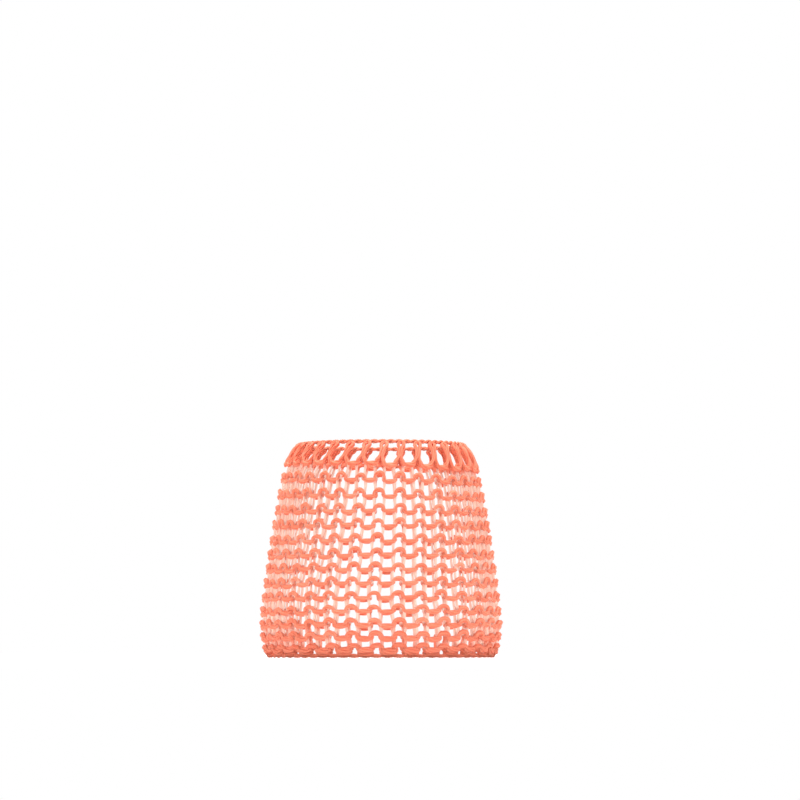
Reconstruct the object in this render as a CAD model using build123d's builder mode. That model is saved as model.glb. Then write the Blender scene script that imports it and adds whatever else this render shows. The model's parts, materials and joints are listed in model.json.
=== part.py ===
from build123d import *
import math
import os

# A bulb cover sleeve: one tapered tube of knitted cotton, open at both ends. Its hem rests on
# Z = 0 and +Z is the tube's axis. The purl side faces out, so every course is a wavy ridge that
# rises over each stitch head and dips between the wales.

# Inside radii, where the sleeve hugs the glass
neck_bore_radius = 22.6
shoulder_bore_radius = 25.6
belly_bore_radius = 32.0
hem_bore_radius = 31.0

# Heights
height = 63.0
shoulder_drop = 8.0         # from the neck rim down to the shoulder
belly_height = 14.0         # from the hem up to the widest part of the inside
neck_land = 2.6             # straight length of the neck opening
hem_land = 2.2              # straight length of the hem opening
land_step = 0.1             # the inside starts this much wider than the land beside it

# Fabric
wall = 3.4                  # from the glass to the crest of a course
neck_wall = 1.7
hem_wall = 2.6
body_bulge = 0.5            # rise of the body's side over a straight taper
ridge_depth = 1.1           # from the crest of a course to the valley beside it
rim_bevel = 0.4             # radial bevel at the neck rim
hem_bevel = 0.9             # radial bevel under the hem

# Stitches
wale_pairs = 16
courses = 14
crest_width = 1.1           # flat top of a course's ridge
wave_height = 1.4           # from a stitch's head down to the dip beside it
hem_band = 4.6              # along the side, from the hem edge to the first course
neck_band = 6.4             # along the side, from the last course to the neck rim
hem_ridge = 1.3             # along the side, from the hem edge to the middle of its cast-on ridge
rim_ridge = 1.2             # along the side, from the neck rim down to the middle of its bound-off ridge

# Gaps through the fabric
gap_width = 4.2
gap_height = 2.6
gap_courses = (3, 5, 7, 9, 11)
slot_width = 2.6            # gaps between the long leaning stitches of the top course
slot_length = 4.0
slot_lean = 22.0            # degrees

stitches = 2 * wale_pairs
wale_angle = 360 / stitches

neck_radius = neck_bore_radius + neck_wall
shoulder_height = height - shoulder_drop
hem = (hem_bore_radius + hem_wall, 0)
belly = (belly_bore_radius + wall, belly_height)
shoulder = (shoulder_bore_radius + wall, shoulder_height)
neck = (neck_radius, height)

# The side of the sleeve, along the crests of its courses, from the hem up to the neck rim
with BuildLine(Plane.XZ) as side_line:
    body = SagittaArc(belly, shoulder, body_bulge)
    hem_curl = TangentArc(belly, hem, tangent=-(body % 0))
    shoulder_curl = TangentArc(shoulder, neck, tangent=body % 1)
side = side_line.wires()[0]
course_pitch = (side.length - hem_band - neck_band) / (courses - 1)


def side_plane(distance, depth=0, turn=0):
    """Plane that faces out of the side, a distance up from the hem, sunk by a depth and turned about Z."""
    tangent = side.tangent_at(distance, position_mode=PositionMode.LENGTH)
    outward = Vector(tangent.Z, 0, -tangent.X)
    foot = side.position_at(distance, position_mode=PositionMode.LENGTH) - outward * depth
    along = Vector(0, 1, 0).rotate(Axis.Z, turn)
    return Plane(foot.rotate(Axis.Z, turn), x_dir=along, z_dir=outward.rotate(Axis.Z, turn))


def stitch_ring(point, wave=wave_height):
    """Ring round the sleeve through a point of its side, up at every stitch head and down between wales."""
    corners = []
    for half_stitch in range(2 * stitches):
        rise = wave / 2 if half_stitch % 2 == 0 else -wave / 2
        corner = point + Vector(0, 0, rise)
        corners.append(corner.rotate(Axis.Z, half_stitch * wale_angle / 2))
    return Wire.make_polygon(corners, close=True)


# Middles of the ridges and of the valleys between them, from the cast-on hem to the bound-off rim
ridges = [hem_ridge]
ridges += [hem_band + course * course_pitch for course in range(courses)]
ridges += [side.length - rim_ridge]
valleys = [(lower + upper) / 2 for lower, upper in zip(ridges, ridges[1:])]

# The outer skin runs on past both ends, where it is trimmed to the level hem and rim
hem_edge = Vector(hem[0] - hem_bevel, 0, -wave_height)
rim_edge = Vector(neck_radius - rim_bevel, 0, height + wave_height)
overrun = Vector(0, 0, wave_height)
rings = [stitch_ring(hem_edge - overrun, wave=0), stitch_ring(hem_edge)]
rings.append(stitch_ring(side_plane(ridges[0] - crest_width / 2).origin))
for lower, valley, upper in zip(ridges, valleys, ridges[1:]):
    rings.append(stitch_ring(side_plane(lower + crest_width / 2).origin))
    rings.append(stitch_ring(side_plane(valley, ridge_depth).origin))
    rings.append(stitch_ring(side_plane(upper - crest_width / 2).origin))
rings.append(stitch_ring(side_plane(ridges[-1] + crest_width / 2).origin))
rings += [stitch_ring(rim_edge), stitch_ring(rim_edge + overrun, wave=0)]
knit_skin = Solid.make_loft(rings, ruled=True)

# Gaps in two neighbouring wales: one below each listed course, moved over by a wale from row to
# row, and a leaning slot in each wale of the long top course
with BuildPart() as gap_tools:
    for row, course in enumerate(gap_courses):
        dip = valleys[course] - wave_height / 2
        with BuildSketch(side_plane(dip, turn=wale_angle * (row % 2 + 0.5))):
            Rectangle(gap_width, gap_height)
        extrude(amount=2 * wall, both=True)
    for wale in range(2):
        with BuildSketch(side_plane(valleys[-1], turn=wale_angle * (wale + 0.5))):
            Rectangle(slot_width, slot_length, rotation=-slot_lean)
        extrude(amount=2 * wall, both=True)

# The space inside, with a flat for every wale and a round land at each opening
inside = [
    (hem_bore_radius + land_step, hem_land),
    (belly_bore_radius, belly_height),
    (shoulder_bore_radius, shoulder_height),
    (neck_bore_radius + land_step, height - neck_land),
]
with BuildPart() as glass_space:
    for (radius, level), (next_radius, next_level) in zip(inside, inside[1:]):
        rise = next_level - level
        with BuildSketch(Plane.XY.offset(level)):
            RegularPolygon(radius, stitches, major_radius=False)
        extrude(amount=rise, taper=math.degrees(math.atan2(radius - next_radius, rise)))
    with BuildSketch(Plane.XY):
        Circle(hem_bore_radius)
    extrude(amount=hem_land)
    with BuildSketch(Plane.XY.offset(height)):
        Circle(neck_bore_radius)
    extrude(amount=-neck_land)

with BuildPart() as knit_sleeve:
    add(knit_skin)
    split(bisect_by=Plane.XY, keep=Keep.TOP)
    split(bisect_by=Plane.XY.offset(height), keep=Keep.BOTTOM)
    add(glass_space.part, mode=Mode.SUBTRACT)
    with PolarLocations(0, wale_pairs):
        add(gap_tools.part, mode=Mode.SUBTRACT)

os.makedirs("parts", exist_ok=True)
knit_sleeve.part.label = "knit_sleeve"
export_step(knit_sleeve.part, "parts/knit_sleeve.step")
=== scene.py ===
import json
import math

import bpy
import numpy as np
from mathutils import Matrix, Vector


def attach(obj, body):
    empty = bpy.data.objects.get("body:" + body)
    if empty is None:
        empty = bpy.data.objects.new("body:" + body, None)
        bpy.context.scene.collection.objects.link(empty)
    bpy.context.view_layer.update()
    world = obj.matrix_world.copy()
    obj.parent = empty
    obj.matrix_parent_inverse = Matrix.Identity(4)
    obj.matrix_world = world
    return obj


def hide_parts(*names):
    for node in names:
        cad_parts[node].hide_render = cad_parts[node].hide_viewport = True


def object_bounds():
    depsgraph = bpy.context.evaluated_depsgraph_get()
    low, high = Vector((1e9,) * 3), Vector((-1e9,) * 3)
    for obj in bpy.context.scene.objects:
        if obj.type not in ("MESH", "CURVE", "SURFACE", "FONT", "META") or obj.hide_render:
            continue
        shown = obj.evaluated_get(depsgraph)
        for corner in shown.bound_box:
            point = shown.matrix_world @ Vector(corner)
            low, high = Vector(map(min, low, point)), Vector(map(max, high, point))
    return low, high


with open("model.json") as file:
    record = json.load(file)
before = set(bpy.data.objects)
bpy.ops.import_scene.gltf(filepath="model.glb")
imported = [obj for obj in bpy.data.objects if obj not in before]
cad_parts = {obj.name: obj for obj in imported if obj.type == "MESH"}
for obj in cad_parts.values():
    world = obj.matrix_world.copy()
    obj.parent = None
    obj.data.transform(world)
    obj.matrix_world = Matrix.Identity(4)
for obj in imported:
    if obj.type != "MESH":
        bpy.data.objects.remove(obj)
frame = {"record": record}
cad_low, cad_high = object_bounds()

# Knitting is worked out in millimetres and written to the meshes in metres
MM = 0.001

# The side of the sleeve along the crests of its courses, as (radius, height)
HEM_WALL = 2.6
NECK_WALL = 1.7
bore_radius = {mount["name"]: mount["dims"].get("r_mm") for mount in frame["record"]["mounts"]}
HEIGHT = round(cad_high[2] / MM, 3)
HEM = (bore_radius["hem_opening"] + HEM_WALL, 0.0)
BELLY = (35.4, 14.0)
SHOULDER = (29.0, 55.0)
NECK = (bore_radius["neck_opening"] + NECK_WALL, HEIGHT)
BODY_BULGE = 0.5
ARC_POINTS = 160

# Stitches, with distances along the side from the hem
WALES = 32
ROWS = 14                             # of purl bumps; courses run from row to row and on to both edges
HEM_LOOPS = 0.9                       # feet of the cast-on loops
FIRST_ROW = 2.7
LAST_ROW = 56.9
RIM_LOOPS = 64.3                      # tops of the long loops at the neck
PITCH_AT = (0, 3, 10, 12.5)           # rows crowd together at the hem and open out at the neck
PITCH = (3.42, 4.1, 4.5, 5.05)
ROW_SPREAD = 0.22                     # of the pitch: heads stand above their row and sinkers below it
WALE_AT = (0.0, 4.0, 17.5, 34.0, 45.0, 60.0)        # the wales wander as they go up
WALE_TURN = (-2.0, -2.2, -3.5, -1.8, -0.9, -0.5)    # degrees at the front, and the other way behind
TILT_AT = (0.0, 10.0, 32.0, 50.0, 56.9, 64.3)       # rows lie a little askew between the two level edges
RISE_AT_FRONT = (0.0, 0.7, 0.6, 0.55, 0.6, 0.0)
RISE_AT_BACK = (0.0, 1.3, 2.2, 3.2, 2.2, 0.0)
DROP_TO_RIGHT = (0.0, -0.1, 0.0, 0.5, 1.1, 0.0)

# Long loops of the top course. A span is where something happens, as shares of a loop's rise
LONG_LEAN = 0.28                      # in wales: to the right at the front, to the left behind
LONG_LEAN_SPAN = (0.15, 1.0)
LONG_NARROW = 0.72                    # how far their two legs close up
LONG_NARROW_SPAN = (0.08, 0.33)
LONG_EYE = 0.5                        # and open again into an eye below the rim
LONG_EYE_SPAN = (0.66, 0.88)
LONG_OUT = -0.72                      # where they lie, out from the line of the crests
LONG_OUT_SPAN = (0.02, 0.14)
LONG_FULL = 0.12                      # their yarn is fuller
LONG_SLIM = 0.4                       # but by this share less at the rim
LONG_SLIM_SPAN = (0.7, 1.0)
UNDER_LONG_DROP = 0.5                 # the heads below them sit lower
UNDER_LONG_SINK = 1.2                 # and further in

# One stitch, over t from -pi to pi: its head is at t = 0 and its sinkers are at the ends
SIDEWAYS = (-0.030, 0.150, -0.012, 0.020)     # sine terms, in wales
UP = (3.014, 0.391, 0.02)                     # cosine terms, scaled to the rows
OUT = (0.14, 0.80, 0.0, 0.0, 0.0, -0.10)      # cosine terms, in shares of the fabric's depth
YARN = (0.485, -0.015, 0.115, 0.0, -0.01)     # radius of the yarn: mean and cosine terms
STITCH_STEPS = 34

# Hand-made unevenness, as standard deviations
UNEVEN_UP = 0.17                      # mm
UNEVEN_SIDEWAYS = 0.022               # wales
UNEVEN_YARN = 0.035                   # of the radius
UNEVEN_OUT = 0.05                     # mm
UNEVEN_TONE = 0.18

# Fabric: the middle of the yarn lies under the crests by a length and by a share of the depth
DEPTH_AT = (0.0, 14.4, 56.0, 66.0)    # it is thinner at its two edges
DEPTH = (0.45, 0.5, 0.45, 0.3)
UNDER_CRESTS = 0.66
UNDER_CRESTS_OF_DEPTH = 0.85
CAST_ON_DEPTH = 0.5                   # cast-on loops lie flatter
CAST_ON_THIN = 0.3                    # with thinner feet
HEM_FULL = 0.14                       # and the sinkers over them are fuller
FULL_AT = (0.0, 6.0, 16.0)            # the yarn is fuller towards the hem
FULL = (0.18, 0.16, 0.02)

# Yarn
PLIES = 4
PLY_SIDES = 5
PLY_SHARE = 0.46                      # radius of a ply, and the rest is its distance from the middle
PLY_UV_STEP = 1.37                    # so that no two plies show the same fibres
TWISTS = 1.5                          # turns of the plies in each stitch
SINKER_WIDEN = 0.10                   # sinkers flatten and widen
SINKER_FLATTEN = 0.08
TONE = 0.25
LEG_PAINTED_BACKLIGHT_AT = (0.0, 5.0, 14.0)        # legs get painted backlight: a paler tone than heads and sinkers that stands in for light shining through them, less so near the hem
LEG_PAINTED_BACKLIGHT = (0.95, 1.1, 1.6)

# Two yarns along each edge, wound round each other
EDGE_STEPS = 20                       # in each wale
EDGE_TWISTS = 2                       # turns of the plies in each wale
HEM_EDGE = {"inset": 0.32, "out": -1.0, "radius": 0.38, "wind": 0.18}
RIM_EDGE = {"inset": 0.35, "out": -0.85, "radius": 0.40, "wind": 0.28}
EDGE_TONE = 0.5
EDGE_TONE_SWING = 0.2
EDGE_TONE_WAVES = 5                   # round the sleeve
EDGE_TONE_START = 1.0                 # radians

draw = np.random.default_rng(11)


def arc(start, tangent, end):
    """Points of the arc that leaves start along tangent and comes to end."""
    start, tangent, end = (np.array(value, float) for value in (start, tangent, end))
    normal = np.array((-tangent[1], tangent[0]))
    chord = end - start
    centre = start + normal * (chord @ chord) / (2 * normal @ chord)
    turn = np.linspace(0, 2 * math.atan2(normal @ chord, tangent @ chord), ARC_POINTS)
    arm = start - centre
    across = np.array((-arm[1], arm[0]))
    return centre + np.outer(np.cos(turn), arm) + np.outer(np.sin(turn), across)


def side_of_sleeve():
    """Points up the side from hem to neck: the belly's curl, the body's slight bulge and the shoulder."""
    chord = np.subtract(SHOULDER, BELLY)
    length = np.hypot(*chord)
    swing = -2 * math.atan(2 * BODY_BULGE / length)
    along = chord / length
    across = np.array((-along[1], along[0]))
    body = arc(BELLY, math.cos(swing) * along + math.sin(swing) * across, SHOULDER)
    start, finish = body[1] - body[0], body[-1] - body[-2]
    hem_curl = arc(BELLY, -start / np.hypot(*start), HEM)
    shoulder_curl = arc(SHOULDER, finish / np.hypot(*finish), NECK)
    return np.concatenate((hem_curl[::-1], body[1:], shoulder_curl[1:]))


side = side_of_sleeve()
side_length = np.concatenate(([0], np.cumsum(np.hypot(*np.diff(side, axis=0).T))))
side_tangent = np.gradient(side, side_length, axis=0)
side_tangent /= np.linalg.norm(side_tangent, axis=1)[:, None]


def at_side(distance, values):
    """A value of the side at a distance up from the hem."""
    return np.interp(distance, side_length, values)


def on_fabric(distance, angle, out):
    """Points of the fabric and the way that it faces there, for a distance up the side, an angle round it
    to the right from the front, and a distance out from the line of the crests."""
    facing_out = at_side(distance, side_tangent[:, 1])
    facing_up = -at_side(distance, side_tangent[:, 0])
    radius = at_side(distance, side[:, 0]) + out * facing_out
    height = at_side(distance, side[:, 1]) + out * facing_up
    points = np.stack((radius * np.sin(angle), -radius * np.cos(angle), height), axis=1)
    normals = np.stack((facing_out * np.sin(angle), -facing_out * np.cos(angle), facing_up), axis=1)
    return points, normals


def row_distances():
    """Distances up the side to the hem's loops, each row and the rim's loops, and the rise of their heads."""
    steps = np.interp(np.arange(ROWS - 1) + 0.5, PITCH_AT, PITCH)
    rows = np.concatenate(([0], np.cumsum(steps)))
    rows = FIRST_ROW + rows * (LAST_ROW - FIRST_ROW) / rows[-1]
    spread = ROW_SPREAD * np.gradient(rows)
    return np.concatenate(([HEM_LOOPS], rows, [RIM_LOOPS])), np.concatenate(([0], spread, [0]))


rows, row_spread = row_distances()
wale_angle = 2 * math.pi / WALES


def waves(t, terms, kind, first=1):
    """Sum of sine or cosine terms over one stitch."""
    return sum(term * kind((order + first) * t) for order, term in enumerate(terms))


def share(value, span):
    """How far a value has come along a span, from 0 at its start to 1 at its end."""
    start, end = span
    return np.clip((value - start) / (end - start), 0, 1)


def smooth(value, span):
    """The same, eased at both ends."""
    part = share(value, span)
    return part * part * (3 - 2 * part)


def course(number):
    """Middle line of one course's yarn: points, the way the fabric faces, radius, widening and tone, with
    painted backlight on the legs.
    """
    t = np.tile(np.linspace(-math.pi, math.pi, STITCH_STEPS, endpoint=False), WALES)
    wale = np.repeat(np.arange(WALES), STITCH_STEPS)
    head = (1 + np.cos(t)) / 2
    cast_on = number == 0
    over_cast_on = number == 1
    under_long = number == ROWS - 1
    long_loop = number == ROWS

    def vary(size):
        """Unevenness that runs on smoothly from each head to the sinker on either side."""
        heads, sinkers = draw.normal(0, size, (2, WALES))
        beside = np.where(t < 0, sinkers[wale], sinkers[(wale + 1) % WALES])
        return heads[wale] * head + beside * (1 - head)

    # Up the side, from the sinkers of one row to the heads of the next
    rise = waves(t, UP, np.cos)
    rise = (rise - rise.min()) / np.ptp(rise)
    low = rows[number] - row_spread[number]
    high = rows[number + 1] + row_spread[number + 1]
    if under_long:
        high -= UNDER_LONG_DROP
    distance = low + (high - low) * rise + vary(UNEVEN_UP)

    # Round the sleeve
    sideways = t / (2 * math.pi) + waves(t, SIDEWAYS, np.sin) + vary(UNEVEN_SIDEWAYS)
    if long_loop:
        close = LONG_NARROW * smooth(rise, LONG_NARROW_SPAN) - LONG_EYE * smooth(rise, LONG_EYE_SPAN)
        lean = LONG_LEAN * np.cos(wale * wale_angle)
        sideways = sideways * (1 - close) + lean * share(rise, LONG_LEAN_SPAN)
    angle = (wale + sideways) * wale_angle
    angle += np.radians(np.interp(distance, WALE_AT, WALE_TURN)) * np.cos(angle)

    # The rows' tilt
    front_rise = np.interp(distance, TILT_AT, RISE_AT_FRONT)
    back_rise = np.interp(distance, TILT_AT, RISE_AT_BACK)
    right_drop = np.interp(distance, TILT_AT, DROP_TO_RIGHT)
    distance = distance + front_rise * np.cos(angle) - right_drop * np.sin(angle)
    distance += back_rise * ((1 - np.cos(angle)) / 2) ** 2

    # Thickness of the yarn
    radius = waves(t, YARN, np.cos, first=0) * (1 + vary(UNEVEN_YARN))
    radius += np.interp(distance, FULL_AT, FULL)
    if long_loop:
        radius += LONG_FULL * (1 - LONG_SLIM * smooth(rise, LONG_SLIM_SPAN))
    if cast_on:
        radius -= CAST_ON_THIN * (1 - rise)
    if over_cast_on:
        radius += HEM_FULL * (1 - head) ** 2

    # In and out of the fabric
    depth = np.interp(distance, DEPTH_AT, DEPTH)
    if cast_on:
        depth *= CAST_ON_DEPTH
    out = waves(t, OUT, np.cos) * depth - (UNDER_CRESTS + UNDER_CRESTS_OF_DEPTH * depth) + vary(UNEVEN_OUT)
    if under_long:
        out -= UNDER_LONG_SINK * head ** 2
    if long_loop:
        emerge = smooth(rise, LONG_OUT_SPAN)
        out = out * (1 - emerge) + LONG_OUT * emerge

    points, normals = on_fabric(distance, angle, out)
    widen = (1 - head) ** 2 * (not cast_on)
    tone = TONE + vary(UNEVEN_TONE)
    # painted backlight: the legs' tone is raised so that they render paler, standing in for light shining
    # through them
    if not cast_on and not long_loop:
        tone += np.interp(distance, LEG_PAINTED_BACKLIGHT_AT, LEG_PAINTED_BACKLIGHT) * np.sin(t) ** 2
    return points, normals, radius, widen, tone


def edge_yarns(edge_distance, out, radius, wind):
    """Two yarns along an edge, each as a middle line and its twists."""
    turn = np.linspace(0, 2 * math.pi, WALES * EDGE_STEPS, endpoint=False)
    tone = EDGE_TONE + EDGE_TONE_SWING * np.sin(EDGE_TONE_WAVES * turn + EDGE_TONE_START)
    yarns = []
    for swing in (wind, -wind):
        distance = edge_distance + swing * np.sin(WALES * turn)
        points, normals = on_fabric(distance, turn, out + swing * np.cos(WALES * turn))
        line = (points, normals, np.full_like(turn, radius), np.zeros_like(turn), tone)
        yarns.append((line, WALES * EDGE_TWISTS))
    return yarns


def plied(line, twists):
    """Vertices, faces, UVs and tones of a closed yarn of twisted plies along a middle line."""
    points, normals, radius, widen, tone = line
    count = len(points)
    tangent = np.roll(points, -1, axis=0) - np.roll(points, 1, axis=0)
    tangent /= np.linalg.norm(tangent, axis=1)[:, None]
    outward = normals - (normals * tangent).sum(1)[:, None] * tangent
    outward /= np.linalg.norm(outward, axis=1)[:, None]
    flat_out = outward * (1 - SINKER_FLATTEN * widen)[:, None]
    wide_across = np.cross(tangent, outward) * (1 + SINKER_WIDEN * widen)[:, None]
    twist = 2 * math.pi * twists * np.arange(count) / count
    reach = (radius * (1 - PLY_SHARE))[:, None]
    thick = (radius * PLY_SHARE)[:, None]
    corners = []
    for ply in range(PLIES):
        lay = (twist + 2 * math.pi * ply / PLIES)[:, None]
        middle = points + reach * (np.cos(lay) * flat_out + np.sin(lay) * wide_across)
        for corner in range(PLY_SIDES):
            way = 2 * math.pi * corner / PLY_SIDES + lay
            corners.append(middle + thick * (np.cos(way) * flat_out + np.sin(way) * wide_across))
    vertices = np.stack(corners, axis=1)

    index = np.arange(count * PLIES * PLY_SIDES).reshape(count, PLIES, PLY_SIDES)
    after = np.roll(index, -1, axis=0)
    faces = np.stack((index, np.roll(index, -1, axis=2), np.roll(after, -1, axis=2), after), axis=-1)

    # UVs in millimetres along the yarn, and in turns round each ply
    step = np.linalg.norm(np.roll(points, -1, axis=0) - points, axis=1)
    along = np.concatenate(([0], np.cumsum(step)))
    begin, end = along[:-1], along[1:]
    u = np.stack((begin, begin, end, end), axis=-1)[:, None, None, :]
    around = np.arange(PLY_SIDES) / PLY_SIDES
    next_around = around + 1 / PLY_SIDES
    v = np.stack((around, next_around, next_around, around), axis=-1)[None, None]
    v = v + PLY_UV_STEP * np.arange(PLIES)[None, :, None, None]
    uv = np.stack(np.broadcast_arrays(u, v), axis=-1)
    tones = np.broadcast_to(tone[:, None, None], index.shape)
    return vertices.reshape(-1, 3), faces.reshape(-1, 4), uv.reshape(-1, 2), tones.ravel()


def yarn_piece(name, yarns):
    """One mesh of several closed yarns, each given as a middle line and its twists."""
    made = [plied(line, twists) for line, twists in yarns]
    starts = np.cumsum([0] + [len(vertices) for vertices, *_ in made[:-1]])
    vertices = np.concatenate([part[0] for part in made]) * MM
    faces = np.concatenate([part[1] + start for part, start in zip(made, starts)])
    uvs = np.concatenate([part[2] for part in made])
    tones = np.concatenate([part[3] for part in made])
    mesh = bpy.data.meshes.new(name)
    mesh.vertices.add(len(vertices))
    mesh.vertices.foreach_set("co", vertices.astype(np.float32).ravel())
    mesh.loops.add(faces.size)
    mesh.loops.foreach_set("vertex_index", faces.astype(np.int32).ravel())
    mesh.polygons.add(len(faces))
    mesh.polygons.foreach_set("loop_start", np.arange(0, faces.size, 4, dtype=np.int32))
    mesh.update(calc_edges=True)
    mesh.polygons.foreach_set("use_smooth", np.ones(len(faces), dtype=bool))
    layer = mesh.uv_layers.new(name="yarn")
    layer.uv.foreach_set("vector", uvs.astype(np.float32).ravel())
    tone = mesh.attributes.new("tone", "FLOAT", "POINT")
    tone.data.foreach_set("value", tones.astype(np.float32))
    mesh.validate()
    piece = bpy.data.objects.new(name, mesh)
    bpy.context.collection.objects.link(piece)
    piece.data.materials.append(cotton)
    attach(piece, "root")
    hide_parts("knit_sleeve")


def nodes_of(owner):
    """Empty node tree of a material or world, as (nodes, link)."""
    owner.use_nodes = True
    tree = owner.node_tree
    tree.nodes.clear()
    return tree.nodes, tree.links.new


# Cotton: how much light comes through it, and its linear colours from deep heads to pale legs, the pale end
# being painted backlight that stands in for light shining through the legs
SEE_THROUGH = 0.5
DEEP_CORAL = (0.88, 0.29, 0.17, 1)
CORAL = (0.95, 0.41, 0.27, 1)
# painted backlight colour of the legs
PAINTED_BACKLIGHT_CORAL = (1.0, 0.83, 0.74, 1)
CORAL_SHADES_AT = (0.25, 0.75, 0.95)
SHEEN_TINT = (1.0, 0.75, 0.66, 1)
FIBRE_STRETCH = (1.1, 7.0, 1.0)       # fibres run along the ply
FIBRE_BUMP = 0.1 * MM
FIBRE_SHARE = 0.55                    # of the shade, and the tone gives the rest
TONE_SHARE = 0.45


def cotton_material():
    """Soft matte coral cotton: fine fibres along each ply, tones that wander from stitch to stitch, and
    painted backlight that makes the legs paler.
    """
    material = bpy.data.materials.new("coral_cotton")
    nodes, link = nodes_of(material)
    output = nodes.new("ShaderNodeOutputMaterial")
    shader = nodes.new("ShaderNodeBsdfPrincipled")
    shader.inputs["Roughness"].default_value = 0.88
    shader.inputs["Sheen Weight"].default_value = 0.25
    shader.inputs["Sheen Roughness"].default_value = 0.5
    shader.inputs["Sheen Tint"].default_value = SHEEN_TINT
    shader.inputs["Specular IOR Level"].default_value = 0.25
    through = nodes.new("ShaderNodeBsdfTranslucent")
    mix = nodes.new("ShaderNodeMixShader")
    mix.inputs["Fac"].default_value = SEE_THROUGH

    place = nodes.new("ShaderNodeUVMap")
    place.uv_map = "yarn"
    stretch = nodes.new("ShaderNodeMapping")
    stretch.inputs["Scale"].default_value = FIBRE_STRETCH
    fibres = nodes.new("ShaderNodeTexNoise")
    fibres.inputs["Scale"].default_value = 1.6
    fibres.inputs["Detail"].default_value = 4.0
    fibres.inputs["Roughness"].default_value = 0.6
    fibres.inputs["Distortion"].default_value = 0.3
    link(place.outputs["UV"], stretch.inputs["Vector"])
    link(stretch.outputs["Vector"], fibres.inputs["Vector"])

    tone = nodes.new("ShaderNodeAttribute")
    tone.attribute_name = "tone"
    tone_part = nodes.new("ShaderNodeMath")
    tone_part.operation = "MULTIPLY"
    tone_part.inputs[1].default_value = TONE_SHARE
    shade = nodes.new("ShaderNodeMath")
    shade.operation = "MULTIPLY_ADD"
    shade.inputs[1].default_value = FIBRE_SHARE
    link(tone.outputs["Fac"], tone_part.inputs[0])
    link(fibres.outputs["Fac"], shade.inputs[0])
    link(tone_part.outputs["Value"], shade.inputs[2])
    shades = nodes.new("ShaderNodeValToRGB")
    deep, middle = shades.color_ramp.elements
    deep.position = CORAL_SHADES_AT[0]
    deep.color = DEEP_CORAL
    middle.position = CORAL_SHADES_AT[1]
    middle.color = CORAL
    # painted backlight: the pale end of the ramp, which the legs' raised tone reaches
    painted_backlight_stop = shades.color_ramp.elements.new(CORAL_SHADES_AT[2])
    painted_backlight_stop.color = PAINTED_BACKLIGHT_CORAL
    link(shade.outputs["Value"], shades.inputs["Fac"])
    link(shades.outputs["Color"], shader.inputs["Base Color"])
    link(shades.outputs["Color"], through.inputs["Color"])

    bump = nodes.new("ShaderNodeBump")
    bump.inputs["Strength"].default_value = 0.5
    bump.inputs["Distance"].default_value = FIBRE_BUMP
    link(fibres.outputs["Fac"], bump.inputs["Height"])
    link(bump.outputs["Normal"], shader.inputs["Normal"])
    link(shader.outputs["BSDF"], mix.inputs[1])
    link(through.outputs["BSDF"], mix.inputs[2])
    link(mix.outputs["Shader"], output.inputs["Surface"])
    return material


cotton = cotton_material()
courses = [(course(number), WALES * TWISTS) for number in range(ROWS + 1)]
hem_yarns = edge_yarns(HEM_EDGE["inset"], HEM_EDGE["out"], HEM_EDGE["radius"], HEM_EDGE["wind"])
rim_distance = side_length[-1] - RIM_EDGE["inset"]
rim_yarns = edge_yarns(rim_distance, RIM_EDGE["out"], RIM_EDGE["radius"], RIM_EDGE["wind"])
yarn_piece("courses_hem", courses[1:5])
yarn_piece("courses_belly", courses[5:9])
yarn_piece("courses_body", courses[9:12])
yarn_piece("courses_neck", courses[12:15])
yarn_piece("edge_cast_on", courses[:1] + hem_yarns)
yarn_piece("edge_bound_off", rim_yarns)

# Floor that keeps the shadow and fades out to the white surroundings, in metres
FLOOR_SIZE = 1.2
FADE_START = 0.10
FADE_END = 0.45
FLOOR_COLOUR = (0.9, 0.9, 0.9, 1)


def floor_material():
    """Pale matte floor that turns clear with the distance from its middle."""
    material = bpy.data.materials.new("pale_floor")
    nodes, link = nodes_of(material)
    output = nodes.new("ShaderNodeOutputMaterial")
    shader = nodes.new("ShaderNodeBsdfPrincipled")
    shader.inputs["Base Color"].default_value = FLOOR_COLOUR
    shader.inputs["Roughness"].default_value = 0.9
    clear = nodes.new("ShaderNodeBsdfTransparent")
    mix = nodes.new("ShaderNodeMixShader")
    where = nodes.new("ShaderNodeTexCoord")
    length = nodes.new("ShaderNodeVectorMath")
    length.operation = "LENGTH"
    fade = nodes.new("ShaderNodeMapRange")
    fade.interpolation_type = "SMOOTHSTEP"
    fade.inputs["From Min"].default_value = FADE_START
    fade.inputs["From Max"].default_value = FADE_END
    link(where.outputs["Object"], length.inputs[0])
    link(length.outputs["Value"], fade.inputs["Value"])
    link(fade.outputs["Result"], mix.inputs["Fac"])
    link(shader.outputs["BSDF"], mix.inputs[1])
    link(clear.outputs["BSDF"], mix.inputs[2])
    link(mix.outputs["Shader"], output.inputs["Surface"])
    return material


bpy.ops.mesh.primitive_plane_add(size=FLOOR_SIZE)
floor = bpy.context.object
floor.name = "floor"
floor.data.materials.append(floor_material())

# White surroundings, which light the sleeve softly from all sides
WHITE = (1, 1, 1, 1)
SEEN_STRENGTH = 1.0                   # as the camera sees them, also in gloss and through glass
SOFT_STRENGTH = 0.82                  # as light


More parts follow.
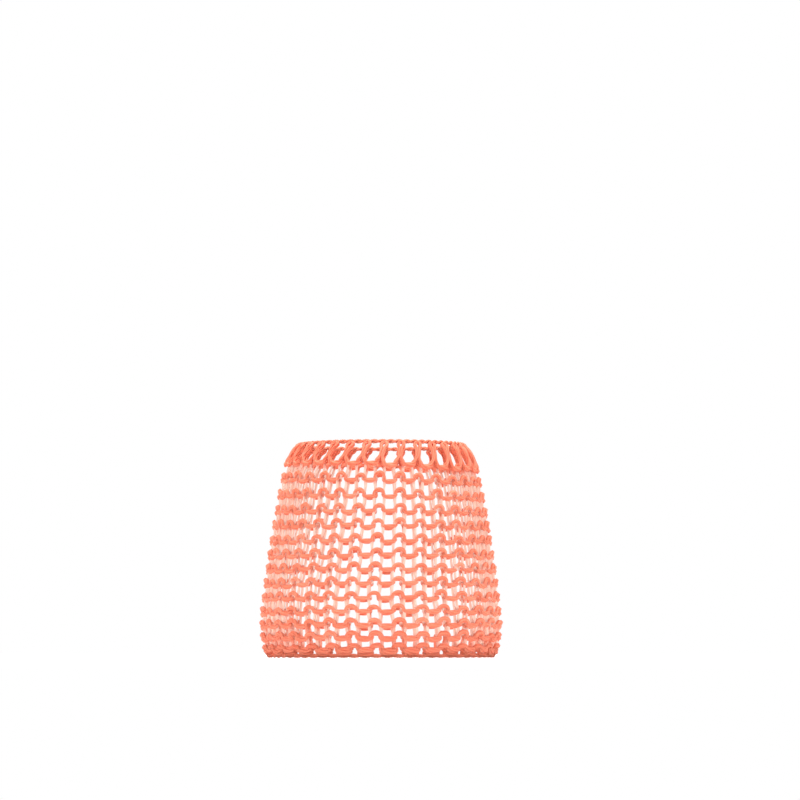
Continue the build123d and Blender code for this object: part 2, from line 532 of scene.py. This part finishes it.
def white_surroundings():
    """World that is plain white to look at and a little dimmer as light."""
    world = bpy.data.worlds.new("white_studio")
    nodes, link = nodes_of(world)
    output = nodes.new("ShaderNodeOutputWorld")
    seen = nodes.new("ShaderNodeBackground")
    seen.inputs["Color"].default_value = WHITE
    seen.inputs["Strength"].default_value = SEEN_STRENGTH
    soft = nodes.new("ShaderNodeBackground")
    soft.inputs["Color"].default_value = WHITE
    soft.inputs["Strength"].default_value = SOFT_STRENGTH
    path = nodes.new("ShaderNodeLightPath")
    direct = nodes.new("ShaderNodeMath")
    direct.operation = "MAXIMUM"
    link(path.outputs["Is Camera Ray"], direct.inputs[0])
    link(path.outputs["Is Glossy Ray"], direct.inputs[1])
    looked_at = nodes.new("ShaderNodeMath")
    looked_at.operation = "MAXIMUM"
    link(direct.outputs["Value"], looked_at.inputs[0])
    link(path.outputs["Is Transmission Ray"], looked_at.inputs[1])
    mix = nodes.new("ShaderNodeMixShader")
    link(looked_at.outputs["Value"], mix.inputs["Fac"])
    link(soft.outputs["Background"], mix.inputs[1])
    link(seen.outputs["Background"], mix.inputs[2])
    link(mix.outputs["Shader"], output.inputs["Surface"])
    return world


bpy.context.scene.world = white_surroundings()

MIDDLE = (0, 0, cad_high[2] / 2)


def softbox(name, place, size, power):
    """Square lamp that faces the middle of the sleeve, in metres and watts."""
    data = bpy.data.lights.new(name, "AREA")
    data.size = size
    data.energy = power
    lamp = bpy.data.objects.new(name, data)
    bpy.context.collection.objects.link(lamp)
    lamp.location = place
    way = np.subtract(MIDDLE, place)
    tip = math.acos(-way[2] / np.linalg.norm(way))
    swing = math.atan2(way[0], -way[1]) + math.pi
    lamp.rotation_euler = (tip, 0, swing)


softbox("key", place=(-0.5, -0.6, 0.55), size=0.5, power=2.2)
softbox("fill", place=(0.6, -0.5, 0.3), size=0.5, power=1.4)
softbox("back", place=(0.0, 0.7, 0.35), size=0.6, power=2.4)
softbox("top", place=(0.0, 0.0, 0.6), size=0.3, power=7.0)

# Camera: about as far off and as low as the photograph's, turned so that the sleeve falls where it does there
CAMERA_DISTANCE = 1.15
CAMERA_HEIGHT = 0.005
SENSOR_WIDTH = 36                   # mm
CLIP_START = 0.01
PIXELS = 800
PIXELS_PER_M = 3420
SLEEVE_AT = (381, 550)              # pixel of the sleeve's middle
focal = PIXELS_PER_M * CAMERA_DISTANCE
camera_data = bpy.data.cameras.new("camera")
camera_data.sensor_width = SENSOR_WIDTH
camera_data.lens = focal * SENSOR_WIDTH / PIXELS
camera_data.clip_start = CLIP_START
camera = bpy.data.objects.new("camera", camera_data)
bpy.context.collection.objects.link(camera)
camera.location = (0, -CAMERA_DISTANCE, CAMERA_HEIGHT)
up_to_middle = math.atan2(MIDDLE[2] - CAMERA_HEIGHT, CAMERA_DISTANCE)
pitch = up_to_middle + math.atan2(SLEEVE_AT[1] - PIXELS / 2, focal)
yaw = math.atan2(PIXELS / 2 - SLEEVE_AT[0], focal)
camera.rotation_euler = (math.pi / 2 + pitch, 0, -yaw)
bpy.context.scene.camera = camera
bpy.context.scene.view_settings.view_transform = "Standard"
